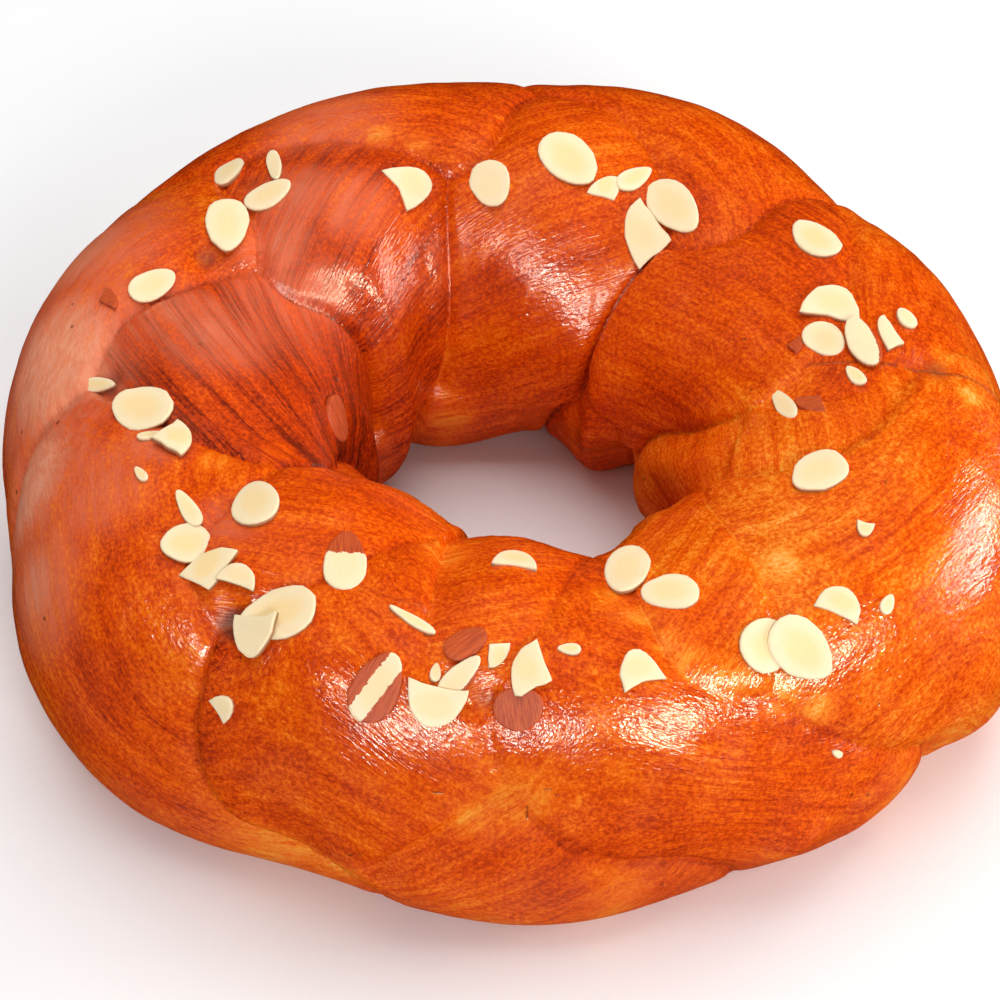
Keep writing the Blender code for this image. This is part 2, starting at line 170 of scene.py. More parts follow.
# Places where the dough was stretched and stayed pale: ring, section, radius.
PALE_PLACES = (
    (271, 31, 13),  # between the front lobes
    (266, 22, 7),
    (256, 116, 9),
    (286, 100, 6),
    (289, 88, 6),
    (291, 76, 6),
    (294, 66, 7),
    (298, 56, 8),
    (303, 47, 8),
    (307, 38, 7),
    (313, 84, 7),
    (244, -12, 14),
    (251, -14, 10),
    (3, 62, 5),
    (356, 57, 5),
    (208, 98, 6),
    (211, 114, 6),
    (185, 52, 5),
    (188, 36, 6),
    (115, 196, 9),
    (108, 96, 5),
    (114, 88, 5),
)

# Places where the glaze is thin and the crust looks powdery, and where the strongest places paint a
# pale sheen of reflected light on the left flank: ring, section, radius, strength.
DUST_AND_SHEEN_PLACES = (
    (136, 98, 15, 1.0),
    (147, 106, 14, 1.0),
    (150, 128, 12, 0.8),
    (172, 90, 14, 1.0),
    (176, 104, 18, 1.0),
    (204, 64, 18, 0.9),
    (200, 84, 12, 0.8),
    (160, 52, 26, 1.3),
    (178, 50, 30, 1.9),
    (194, 40, 24, 1.8),
    (208, 34, 18, 1.3),
    (120, 70, 24, 0.7),
    (222, 88, 12, 0.6),
    (160, 118, 22, 0.7),
    (128, 112, 16, 0.8),
)

# Places where the glaze is dull, on the slopes that face the hole: ring, section, radius.
DULL_PLACES = (
    (70, 128, 34),
    (95, 130, 34),
    (125, 130, 34),
    (155, 135, 30),
    (180, 128, 26),
    (45, 125, 26),
)

# The almond flakes: ring angle, section angle, length, width, turn from the ring's direction,
# shape, lift over another flake or a hollow, and where it still has its brown skin.
FLAKE_RISE, FLAKE_ROOT = 1.1, 0.9
FLAKES = (
    # back left
    (137, 69, 17.5, 9.5, 38, "whole", 0, "bare"),
    (133, 83.5, 16.5, 4.5, 58, "sliver", 0, "bare"),
    (139, 93, 16.5, 10.5, 165, "whole", 0, "bare"),
    (149.5, 91.5, 23.5, 13.5, 34, "whole", 1, "bare"),
    (166.5, 81.5, 15.5, 9.5, 132, "whole", 0, "bare"),
    (170, 70, 7, 5, 60, "corner", 0, "skin"),
    # left
    (183.5, 67, 13, 4.5, 70, "sliver", 0, "bare"),
    (192.5, 83.5, 19, 16, 230, "whole", 1.5, "bare"),
    (199, 84, 8, 3, 86, "sliver", 0, "bare"),
    (201.5, 91.5, 12.5, 12, 32, "corner", 1.5, "bare"),
    (206.5, 77, 6.5, 3, 188, "sliver", 0, "bare"),
    (216, 82.5, 14.5, 5, 172, "sliver", 0, "bare"),
    (220.5, 74.5, 14, 12.5, 236, "whole", 0.5, "bare"),
    (225.5, 74, 15, 11, 91, "corner", 0, "bare"),
    (230.5, 76, 12, 6.5, 13, "half", 1, "bare"),
    (222, 97.5, 20, 13.5, 143, "whole", 0, "bare"),
    # front left
    (238.5, 71, 22, 15.5, 213, "whole", 0, "bare"),
    (237.5, 61.5, 14, 12, 200, "half", 2, "bare"),
    (236.5, 39, 7.5, 6.5, 322, "half", 0, "bare"),
    (242, 97, 20, 12, 119, "whole", 0, "cap"),
    (256, 83.5, 15, 3, 164, "sliver", 0, "bare"),
    (254, 58, 20, 13, 75, "whole", 0, "sides"),
    # front
    (261, 56, 16.5, 12, 177, "half", 1, "bare"),
    (263.5, 65.5, 16.5, 6.5, 53, "whole", 0.5, "edge"),
    (260.5, 66.5, 6, 3, 90, "sliver", 0, "bare"),
    (264, 78, 13, 8, 42, "whole", 0, "skin"),
    (268.5, 74.5, 7.5, 5.5, 271, "corner", 0, "bare"),
    (272, 70, 13.5, 11, 108, "corner", 1, "bare"),
    (271, 57, 12, 13.5, 279, "whole", 0, "skin"),
    (278, 77, 6.5, 3.5, 173, "sliver", 0, "bare"),
    (286.5, 68, 12.5, 10.5, 10, "half", 0, "bare"),
    (271, 112.5, 12.5, 8.5, 354, "half", 0, "bare"),
    # front right
    (292, 109.5, 23.5, 12.5, 240, "whole", 0, "bare"),
    (296, 94.5, 16, 12.5, 158, "whole", 0, "bare"),
    (304, 63.5, 17, 14.5, 6, "whole", 0, "bare"),
    (307.5, 57.5, 20.5, 15.5, 291, "whole", 1, "bare"),
    (315.5, 63, 13.5, 9, 301, "half", 0, "bare"),
    (320, 54, 6, 4, 25, "sliver", 0, "bare"),
    (325.5, 73.5, 5, 4.5, 115, "half", 0, "bare"),
    (308, 20, 4, 2, 133, "sliver", 0, "bare"),
    # right
    (331.5, 94.5, 18, 14, 158, "whole", 0, "bare"),
    (349, 112.5, 15, 5.5, 28, "whole", 0, "bare"),
    (348.5, 105, 8.5, 7.5, 100, "corner", 0, "skin"),
    (356, 92, 8, 5, 39, "sliver", 0, "edge"),
    (14, 93.5, 18.5, 14, 244, "half", 0.5, "bare"),
    (5.5, 99.5, 14, 12, 209, "whole", 0, "bare"),
    (3.5, 89, 21, 9.5, 9, "whole", 1, "edge"),
    (6, 80.5, 14, 6, 16, "corner", 0, "bare"),
    (9.5, 71.5, 9, 6, 7, "whole", 0, "bare"),
    (4.5, 107, 4.5, 5, 211, "corner", 0, "skin"),
    # back right and back
    (29.5, 85, 18.5, 13.5, 0, "whole", 0, "bare"),
    (54, 105, 23.5, 14, 157, "whole", 1.5, "bare"),
    (57, 117, 19.5, 14, 336, "corner", 0, "bare"),
    (78, 106, 23, 17, 140, "whole", 0, "bare"),
    (69, 109.5, 10, 9, 276, "corner", 0, "bare"),
    (64.5, 102.5, 15, 7, 246, "sliver", 0, "bare"),
    (95, 116.5, 17.5, 13, 106, "whole", 0, "bare"),
    (112.5, 112, 15.5, 13.5, 101, "half", 0, "bare"),
    # in the hollow of the left inner lobe
    (187, 144, 15, 13, 60, "whole", 0, "skin"),
)


# ---------------------------------------------------------------- the rope of dough


def smooth(share):
    """0 to 1 with level ends."""
    share = np.clip(share, 0, 1)
    return share * share * (3 - 2 * share)


def bell(distance, spread):
    return np.exp(-((distance / spread) ** 2))


def around(sizes, ring):
    """A size given at even places round the ring, at any ring angle, through a smooth curve."""
    place = (ring / 360 * len(sizes)) % len(sizes)
    start = np.floor(place).astype(int)
    t = place - start
    values = np.array(sizes, float)
    a, b, c, d = (values[(start + step) % len(sizes)] for step in (-1, 0, 1, 2))
    return b + 0.5 * t * (c - a + t * (2 * a - 5 * b + 4 * c - d + t * (3 * (b - c) + d - a)))


def rising(x, knots, values):
    """A curve through the knots that never turns back between them."""
    steps = np.diff(knots)
    slopes = np.diff(values) / steps
    inner = 2 * slopes[:-1] * slopes[1:] / (slopes[:-1] + slopes[1:])
    ends = 0.5 * (slopes[0] + slopes[-1])
    grade = np.concatenate([[ends], inner, [ends]])
    i = np.clip(np.searchsorted(knots, x) - 1, 0, len(steps) - 1)
    t = (x - knots[i]) / steps[i]
    start = values[i] * (1 + 2 * t) + grade[i] * steps[i] * t
    end = values[i + 1] * (3 - 2 * t) + grade[i + 1] * steps[i] * (t - 1)
    return start * (1 - t) ** 2 + end * t * t


def lobe_number(ring, lobe_ends, first):
    """How many lobes lie between the first one's end and this ring angle, going clockwise."""
    ends = -np.array(lobe_ends, float)
    knots = np.concatenate([ends - 360, ends, ends + 360])
    return rising(-ring, knots, first + np.arange(-LOBES, 2 * LOBES, dtype=float))


def braid_place(ring, section):
    """The number of lobes passed, and the strand phase of a seam, at a place on the rope."""
    outer = smooth(0.5 + np.cos(section) / 1.2)
    crest = smooth(np.sin(section) / 0.75)
    rows = []
    for lobes, first in ((OUTER_LOBES, 0.0), (INNER_LOBES, 0.5)):
        at_crest = lobe_number(ring, [lobe[0] for lobe in lobes], first)
        at_foot = lobe_number(ring, [lobe[1] for lobe in lobes], first)
        rows.append(crest * at_crest + (1 - crest) * at_foot)
    passed = outer * rows[0] + (1 - outer) * rows[1]
    return passed, crest * PHASE_AT_CREST + (1 - crest) * PHASE_AT_FOOT


def lobe_places(phase, strand):
    """For outer and inner lobes: the lobe this strand forms, and the phase from its crest."""
    for lobes, half_turn, shift in ((OUTER_LOBES, 0, 0), (INNER_LOBES, 180, 1)):
        turns = np.round((phase - half_turn) / 360)
        lobe = (3 * turns + shift - strand).astype(int) % LOBES
        yield lobes, lobe, phase - half_turn - 360 * turns


def lobe_swell(phase, strand, with_tips):
    """How much thicker than the rest a strand is at this phase, from the lobe it forms there."""
    total = 0
    for lobes, lobe, along in lobe_places(phase, strand):
        for column, (middle, spread) in zip((2, 3, 4), (ROOT, MIDDLE, TIP)):
            if column < 4 or with_tips:
                swell = np.array([row[column] for row in lobes])[lobe]
                total = total + swell * bell(along - middle, spread)
    return total


def lobe_bake(phase, strand):
    """How dark the lobe is that a strand forms at this phase."""
    total, weight = 0, 0
    for lobes, lobe, along in lobe_places(phase, strand):
        share = smooth((115 - np.abs(along)) / 50)
        total = total + share * np.array([row[5] for row in lobes])[lobe]
        weight = weight + share
    return total / np.maximum(weight, 0.001)


def strand_reach(phase, strand, section):
    """How far a strand reaches from the rope's centre line towards this section angle."""
    swell = 1 + lobe_swell(phase, strand, True)
    half_x, half_z = STRAND_ACROSS * swell, STRAND_UP * swell
    dx, dz = np.cos(section) / half_x, np.sin(section) / half_z
    x = PATH_ACROSS * np.cos(np.radians(phase)) / half_x
    z = PATH_UP * np.sin(2 * np.radians(phase)) / half_z
    square = dx * dx + dz * dz
    along = dx * x + dz * z
    rest = along * along - square * (x * x + z * z - 1)
    return (along + np.sign(rest) * np.sqrt(np.abs(rest))) / square


def superellipse(section, exponent):
    side = np.abs(np.cos(section)) ** exponent + np.abs(np.sin(section)) ** exponent
    return side ** (-1 / exponent)


def seam_depth(ring, section):
    """How deep the seams are at a place on the rope, as a share."""
    outer = smooth(0.5 + np.cos(section) / 1.2)
    crest = smooth(np.sin(section) * 1.6 - 0.5)
    side = outer * around(SEAMS_OUTWARD, ring) + (1 - outer) * around(SEAMS_INWARD, ring)
    return side + crest * (around(SEAMS_AT_CREST, ring) - side)


def away_from(ring, section, place_ring, place_section):
    """Millimetres along the ring and up the section from a place on the rope."""
    turn = (ring - place_ring + 180) % 360 - 180
    radius = RING_RADIUS + 0.5 * (REACH_OUTWARD[0] + REACH_INWARD[0]) * np.cos(np.radians(section))
    climb = (section - place_section + 180) % 360 - 180
    return np.radians(turn) * radius, np.radians(climb) * REACH_UPWARD[0]


def round_place(ring, section, place_ring, place_section, radius):
    """1 at a place on the rope, fading to 0 round it."""
    away = np.hypot(*away_from(ring, section, place_ring, place_section))
    return bell(away, radius)


def pit_depth(ring, section):
    total = 0
    for place_ring, place_section, depth, radius in PITS:
        total = total + depth * round_place(ring, section, place_ring, place_section, radius)
    return total


def beside_line(ring, section, line):
    """Millimetres along a short straight line on the crust, and to the right of it."""
    u, v = away_from(ring, section, line[0], line[1])
    cos, sin = math.cos(math.radians(line[2])), math.sin(math.radians(line[2]))
    return u * cos + v * sin, u * sin - v * cos


def uneven_height(ring, section):
    """Height of the folds, swellings and pits that belong to no one lobe, in millimetres."""
    height = -pit_depth(ring, section)
    for place_ring, place_section, rise, radius in UNEVEN:
        height = height + rise * round_place(ring, section, place_ring, place_section, radius)
    for fold in FOLDS:
        half_length, step = fold[3:]
        along, right = beside_line(ring, section, fold)
        ends = smooth((half_length - np.abs(along)) / 8)
        below = smooth(0.5 + right / FOLD_EDGE) * np.exp(-np.maximum(right, 0) / FOLD_WIDTH)
        height = height - step * ends * below
    return height


def rope(ring, section_degrees, relief=0.0):
    """Points on the crust in millimetres, and what the braid is doing there."""
    section = np.radians(section_degrees)
    above = np.sin(section) > 0
    towards = np.radians(ring - LEVEL_CREST_TOWARDS)
    level = LEVEL_CREST + LEVEL_CREST_CHANGE * np.cos(towards)
    drawn = section + np.where(above, -0.5 * level * np.sin(2 * section), 0)
    passed, seam_phase = braid_place(ring, drawn)
    phases = np.stack([120 * passed + seam_phase + 120 * strand for strand in range(3)])
    reaches = np.stack([strand_reach(p, k, drawn) for k, p in enumerate(phases)])
    swells = np.stack([lobe_swell(p, k, False) for k, p in enumerate(phases)])
    order = np.argsort(-reaches, axis=0)
    top = np.take_along_axis(reaches, order[:1], 0)[0]
    second = np.take_along_axis(reaches, order[1:2], 0)[0]
    swell_top = np.take_along_axis(swells, order[:1], 0)[0]
    swell_second = np.take_along_axis(swells, order[1:2], 0)[0]
    blend = 0.5 + 0.5 * smooth((top - second) / SWELL_BLEND)
    swell = swell_second + (swell_top - swell_second) * blend
    sunk = 1.08 - top / superellipse(section, SQUARE_ABOVE)
    sunk = FLATTENING * MOST_SUNK * np.tanh(sunk / MOST_SUNK)
    crease = CREASE_DEPTH * np.exp((second - top) / CREASE_WIDTH)
    share = 1 + SWELL_OUT * swell - seam_depth(ring, drawn) * (sunk + crease)
    share *= superellipse(section, np.where(above, SQUARE_ABOVE, SQUARE_BELOW))
    outward = np.cos(section) > 0
    reach = np.where(outward, around(REACH_OUTWARD, ring), around(REACH_INWARD, ring))
    reach_up = np.where(above, around(REACH_UPWARD, ring), REACH_DOWNWARD)
    relief = relief + uneven_height(ring, section_degrees)
    out = (reach * share + relief) * np.cos(section)
    height = np.maximum(CENTRE_HEIGHT + (reach_up * share + relief) * np.sin(section), 0)
    angle = np.radians(ring)
    x = RING_CENTRE[0] + (RING_RADIUS + out) * np.cos(angle)
    y = RING_CENTRE[1] + (RING_RADIUS + out) * np.sin(angle)
    points = np.stack([x, y, height], -1)
    braid = {
        "phases": phases,
        "strand": order[0],
        "under": order[1],
        "gap": (top - second) * reach,
        "out": out,
        "height": height - CENTRE_HEIGHT,
        "reach": reach,
    }
    return points, braid


# ---------------------------------------------------------------- small relief of the crust


def lattice(points, seed):
    """Smooth noise between -1 and 1 that changes about once per unit."""
    cell = np.floor(points).astype(np.int64)
    t = smooth(points - cell)
    total = 0
    for corner in range(8):
        offset = np.array([corner & 1, corner >> 1 & 1, corner >> 2 & 1])
        x, y, z = np.moveaxis(cell + offset, -1, 0)
        mixed = (x * 374761393 + y * 668265263 + z * 2147483647 + seed * 1274126177) & 0xFFFFFFFF
        mixed = ((mixed ^ (mixed >> 13)) * 1103515245) & 0xFFFFFFFF
        value = ((mixed ^ (mixed >> 16)) & 0xFFFF) / 32767.5 - 1
        weight = np.prod(np.where(offset == 1, t, 1 - t), axis=-1)
        total = total + value * weight
    return total


def of_strand(values, strand):
    """From values for each of the three strands, those of the given strand at every point."""
    return np.take_along_axis(values, strand[None], 0)[0]


def strand_frame(braid, strand):
    """Millimetres along a strand, and across it outward and up, for every point of the crust."""
    phase = of_strand(braid["phases"], strand)
    across = braid["out"] - PATH_ACROSS * braid["reach"] * np.cos(np.radians(phase))
    up = braid["height"] - PATH_UP * braid["reach"] * np.sin(2 * np.radians(phase))
    return np.stack([STRAND_MM_PER_DEGREE * phase + STRAND_SHIFT * strand, across, up], -1)


def crust_relief(points, braid):
    """Small hollows and swellings of the baked skin, in millimetres."""
    stretch = STRETCH_HEIGHT * lattice(strand_frame(braid, braid["strand"]) / STRETCH_SIZE, 3)
    lumps = sum(height * lattice(points / size, seed) for height, size, seed in LUMPS)
    seam = bell(braid["gap"], 3.0)
    torn = TORN_HEIGHT * lattice(points / TORN_SIZE, 4) * bell(braid["gap"] - 2.0, 2.5)
    above_foot = smooth((points[..., 2] - 1) / 12)
    return above_foot * (lumps + stretch * (1 - seam) + torn)


def crack_distance(ring, section):
    """Millimetres to the nearest crack, a little more towards the cracks' ends."""
    nearest = np.full(ring.shape, NONE_NEAR)
    for crack in CRACKS:
        along, right = beside_line(ring, section, crack)
        bent = right + CRACK_WAVER * np.sin(along * CRACK_WAVES)
        nearest = np.minimum(nearest, np.abs(bent) + np.maximum(np.abs(along) - crack[3], 0))
    return nearest


# ---------------------------------------------------------------- meshes


def add_mesh(name, points, faces):
    mesh = bpy.data.meshes.new(name)
    mesh.from_pydata([tuple(point) for point in points * MM], [], faces)
    mesh.polygons.foreach_set("use_smooth", [True] * len(mesh.polygons))
    mesh.update()
    obj = bpy.data.objects.new(name, mesh)
    bpy.context.scene.collection.objects.link(obj)
    return obj


def add_attribute(mesh, name, kind, domain, values):
    attribute = mesh.attributes.new(name, kind, domain)
    field = "vector" if kind == "FLOAT_VECTOR" else "value"
    attribute.data.foreach_set(field, np.asarray(values, np.float32).reshape(-1))


def section_angles():
    crust = np.linspace(CRUST_FROM, CRUST_TO, CRUST_STEPS, endpoint=False)
    base = np.linspace(CRUST_TO, CRUST_FROM + 360, BASE_STEPS, endpoint=False)
    return np.concatenate([crust, base])


def ring_grid_faces(rings, sections):
    i, j = np.meshgrid(np.arange(rings), np.arange(sections), indexing="ij")
    after, up = (i + 1) % rings, (j + 1) % sections
    corners = (i * sections + j, after * sections + j, after * sections + up, i * sections + up)
    return np.stack(corners, -1).reshape(-1, 4)


def inner_streaks(ring, section, braid, faces):
    """Millimetres along and across an inner lobe's streaks at the faces' corners, and which."""
    phase = of_strand(braid["phases"], braid["strand"])
    _, lobe, from_crest = list(lobe_places(phase, braid["strand"]))[1]
    lobe = lobe.reshape(-1)[faces[:, :1]]
    inner = np.abs(from_crest.reshape(-1)[faces[:, 0]] - INNER_PHASE) < INNER_HALF_LENGTH
    middle = np.array([row[0] for row in INNER_LOBES])[lobe]
    turn = np.radians([row[6] for row in INNER_LOBES])[lobe]
    places = ring.reshape(-1)[faces], section.reshape(-1)[faces]
    u, v = away_from(*places, middle, INNER_SECTION)
    along = u * np.cos(turn) + v * np.sin(turn)
    across = v * np.cos(turn) - u * np.sin(turn) - STREAK_BEND * along * along
    return np.stack([along, across, LOBE_SHIFT * lobe + 0 * u], -1), inner


def streak_places(ring, section, braid, faces):
    """For every corner of every face, the place in the streaks of the strand that owns the face."""
    owner = braid["strand"].reshape(-1)[faces[:, 0]]
    frames = [strand_frame(braid, np.full(ring.shape, k)).reshape(-1, 3) for k in range(3)]
    along, right = beside_line(ring, section, FOLDS[0])
    tucked = (right > 0) & (along > -FOLDS[0][3]) & (section < TUCKED_BELOW)
    tucked &= (ring > TUCKED_RINGS[0]) & (ring < TUCKED_RINGS[1])
    tucked &= braid["strand"] == TUCKED_STRAND
    line = (*FOLDS[0][:2], TURNED_STREAKS)
    frames.append(np.stack([*beside_line(ring, section, line), 0 * along], -1).reshape(-1, 3))
    owner = np.where(tucked.reshape(-1)[faces[:, 0]], len(frames) - 1, owner)
    corners = np.stack(frames)[np.repeat(owner, 4), faces.reshape(-1)]
    streaks, inner = inner_streaks(ring, section, braid, faces)
    inner = np.repeat(inner, 4)
    corners[inner] = streaks.reshape(-1, 3)[inner]
    return corners


def blended_bake(braid):
    """How dark the crust is baked: the strand's own lobe, blended with the one below at a seam."""
    bakes = np.stack([lobe_bake(phase, k) for k, phase in enumerate(braid["phases"])])
    blend = 0.5 + 0.5 * smooth(braid["gap"] / 4)
    own, below = of_strand(bakes, braid["strand"]), of_strand(bakes, braid["under"])
    return own * blend + below * (1 - blend)


def strongest_place(ring, section, rows):
    """The strongest of some round places (ring, section, radius, strength 1 or as given)."""
    strongest = np.zeros(ring.shape)
    for place_ring, place_section, radius, *strength in rows:
        here = round_place(ring, section, place_ring, place_section, radius)
        strongest = np.maximum(strongest, here * (strength[0] if strength else 1.0))
    return strongest


def pale_share(ring, section, braid):
    """How far the dough was stretched and stayed pale."""
    phase = of_strand(braid["phases"], braid["strand"])
    from_stretched = (phase - STRETCHED_PHASE + 90) % 180 - 90
    stretched = STRETCHED_SHARE * bell(from_stretched, STRETCHED_SPREAD)
    return np.maximum(stretched, strongest_place(ring, section, PALE_PLACES))


def make_crust():
    rings = np.arange(RING_STEPS) * 360 / RING_STEPS
    ring, section = np.meshgrid(rings, section_angles(), indexing="ij")
    relief = crust_relief(*rope(ring, section))
    points, braid = rope(ring, section, relief)
    faces = ring_grid_faces(*ring.shape)
    crust = add_mesh("crust", points.reshape(-1, 3), faces.tolist())
    corners = streak_places(ring, section, braid, faces)
    add_attribute(crust.data, "strand", "FLOAT_VECTOR", "CORNER", corners)
    at_points = {
        "seam": braid["gap"],
        "bake": blended_bake(braid),
        "pale": pale_share(ring, section, braid),
        "pit": pit_depth(ring, section),
        "dust": strongest_place(ring, section, DUST_AND_SHEEN_PLACES),
        "dull": strongest_place(ring, section, DULL_PLACES),
        "crack": crack_distance(ring, section),
    }
    for name, values in at_points.items():
        add_attribute(crust.data, name, "FLOAT", "POINT", values)
    return crust


def resting_frame(ring, section, size):
    """Centre and axes of a stiff flake that rests on the crust: along the ring, across, and out."""
    step = 0.3 * size
    ring_step = math.degrees(step / RING_RADIUS)
    section_step = math.degrees(step / REACH_UPWARD[0])
    rings = np.array([ring, ring - ring_step, ring + ring_step, ring, ring], float)
    sections = np.array([section, section, section, section - section_step, section + section_step])
    points, _ = rope(rings, sections.astype(float))
    along = points[2] - points[1]
    across = points[4] - points[3]
    out = np.cross(along, across)
    out /= np.linalg.norm(out)
    along /= np.linalg.norm(along)
    return 0.5 * points[0] + 0.125 * points[1:].sum(axis=0), along, np.cross(out, along), out


def flake_outline(shape, corners):
    """A flake's edge as shares of its length and width: a whole slice, or what it breaks into."""
    turns = np.arange(corners) * 2 * math.pi / corners
    if shape == "half":
        arc = corners * 2 // 3
        turns = np.linspace(0, math.pi, arc)
        chord = np.linspace(-0.5, 0.5, corners - arc + 2)[1:-1]
        bow = 0.08 * np.cos(chord * math.pi)
        x = np.concatenate([0.5 * np.cos(turns), chord])
        y = np.concatenate([np.sin(turns) - 0.5, bow - 0.5])
        return x, y
    if shape == "corner":
        arc = corners // 2
        turns = np.linspace(0, math.pi / 2, arc)
        x = np.cos(turns) - 0.5
        y = np.sin(turns) - 0.5
        left = corners - arc
        down = np.linspace(0, 1, left // 2 + 1)[1:]
        right = np.linspace(0, 1, left - left // 2 + 2)[1:-1]
        x = np.concatenate([x, -0.5 + 0.1 * down, -0.4 + 0.9 * right])
        y = np.concatenate([y, 0.5 - down, -0.5 + 0 * right])
        return x, y
    point = (0.3 if shape == "sliver" else 0.16) * np.cos(turns)
    return 0.5 * np.cos(turns), 0.5 * np.sin(turns) * (1 - point)


SKIN_NONE, SKIN_ALL = -1.0, 1.0


def skin_line(where, x, y):
    """Above zero where a flake still has its skin. x and y run from -0.5 to 0.5."""
    if where == "skin":
        return np.full(len(x), SKIN_ALL)
    if where == "cap":
        return x - 0.14
    if where == "sides":
        return np.abs(y + 0.25 * x) - 0.2
    if where == "edge":
        return np.hypot(x, y) - 0.40 - 0.5 * (y + 0.4)
    return np.full(len(x), SKIN_NONE)


# Corners of a flake's outline, how far its ends rise and how ragged its edge is. The shifts keep
# the edge and the grain of one flake unlike those of the next.
FLAKE_CORNERS, SMALL_FLAKE_CORNERS, SMALL_FLAKE = 22, 14, 9
FLAKE_BEND, BENT_DOWN = 0.9, -0.4
RAGGED_WHOLE, RAGGED_BROKEN, RAGGED_SIZE = 0.05, 0.09, 3.2
EDGE_SHIFT, GRAIN_SHIFT = 7.3, 1.7

# Rings of a flake from its foot to the middle of its top: share of its outline, and height.
FLAKE_RINGS = (
    (0.95, -1.0),
    (1.0, 0.0),
    (1.0, 0.72),
    (0.975, 0.93),
    (0.90, 1.0),
    (0.5, 1.03),
    (0.18, 1.04),
)
# Below this height the flake's side is darkened: partly a toasted edge, partly painted contact
# shadow where it meets the crust.
BROWN_AND_SHADED_BELOW = 0.8


def lay_flake(number, ring, section, length, width, turn, shape, lift, skin):
    """Points, faces and surface values of one flake, laid on the crust."""
    corners = FLAKE_CORNERS if length > SMALL_FLAKE else SMALL_FLAKE_CORNERS
    centre, along, across, out = resting_frame(ring, section, 0.5 * (length + width))
    edge_x, edge_y = flake_outline(shape, corners)
    steps = np.stack([edge_x * length, edge_y * width, np.zeros(corners)], -1)
    uneven = RAGGED_WHOLE if shape == "whole" else RAGGED_BROKEN
    ragged = 1 + uneven * lattice(steps / RAGGED_SIZE + number * EDGE_SHIFT, 11)
    edge_x, edge_y = edge_x * ragged, edge_y * ragged
    cos, sin = math.cos(math.radians(turn)), math.sin(math.radians(turn))
    points, local, skins, rims = [], [], [], []
    for share, height in FLAKE_RINGS:
        x, y = edge_x * share, edge_y * share
        bend = FLAKE_BEND * (x * x) * length / 10 * (1 if number % 3 else BENT_DOWN)
        rise = FLAKE_RISE if height > 0 else FLAKE_ROOT
        up = lift + height * rise + bend
        px, py = x * length, y * width
        place = np.outer(px * cos - py * sin, along) + np.outer(px * sin + py * cos, across)
        points.append(centre + place + np.outer(up, out))
        local.append(np.stack([x, y, np.full(corners, number * GRAIN_SHIFT)], -1))
        skins.append(skin_line(skin, x, y))
        rims.append(np.full(corners, 1.0 - height if height < BROWN_AND_SHADED_BELOW else 0.0))
    top = centre + (lift + FLAKE_RINGS[-1][1] * FLAKE_RISE) * out
    foot = centre + (lift - FLAKE_ROOT) * out
    points.append(np.stack([top, foot]))
    local.append(np.array([[0, 0, number * GRAIN_SHIFT]] * 2))
    skins.append(skin_line(skin, np.zeros(2), np.zeros(2)))
    rims.append(np.array([0.0, 1.0]))
    last = (len(FLAKE_RINGS) - 1) * corners
    faces = []
    for i in range(corners):
        after = (i + 1) % corners
        for level in range(len(FLAKE_RINGS) - 1):
            low, high = level * corners, (level + 1) * corners
            faces.append((low + i, low + after, high + after, high + i))
        faces.append((last + i, last + after, last + corners))
        faces.append((after, i, last + corners + 1))
    joined = [np.concatenate(rows) for rows in (points, local, skins, rims)]
    return faces, joined


def make_almonds():
    faces, rows = [], []
    count = 0
    for number, flake in enumerate(FLAKES):
        flake_faces, joined = lay_flake(number, *flake)
        faces += [tuple(count + corner for corner in face) for face in flake_faces]
        count += len(joined[0])
        rows.append(joined)
    points, local, skins, rims = (np.concatenate(column) for column in zip(*rows))
    almonds = add_mesh("almonds", points, faces)
    add_attribute(almonds.data, "flake", "FLOAT_VECTOR", "POINT", local)
    add_attribute(almonds.data, "skin", "FLOAT", "POINT", skins)
    add_attribute(almonds.data, "rim", "FLOAT", "POINT", rims)
    return almonds


# ---------------------------------------------------------------- materials


class Value:
    """A socket of a material's nodes, used as a number, colour or vector in an expression."""

    def __init__(self, finish, socket):
        self.finish = finish
        self.socket = socket

    def _math(self, operation, *values):
        return self.finish.node("ShaderNodeMath", {"operation": operation}, list(values))

    def __add__(self, other):
        return self._math("ADD", self, other)

    def __sub__(self, other):
        return self._math("SUBTRACT", self, other)

    def __rsub__(self, other):
        return self._math("SUBTRACT", other, self)

    def __mul__(self, other):
        return self._math("MULTIPLY", self, other)

    __radd__ = __add__
    __rmul__ = __mul__

    def size(self):
        return self._math("ABSOLUTE", self)

    def between(self, low, high):
        """0 below low, 1 above high, smooth in between."""
        settings = {"interpolation_type": "SMOOTHSTEP"}
        inputs = {"Value": self, "From Min": low, "From Max": high}
        return self.finish.node("ShaderNodeMapRange", settings, inputs, "Result")

    def scaled(self, x, y, z):
        """A vector with each of its parts multiplied."""
        settings = {"operation": "MULTIPLY"}
        return self.finish.node("ShaderNodeVectorMath", settings, [self, (x, y, z)], "Vector")


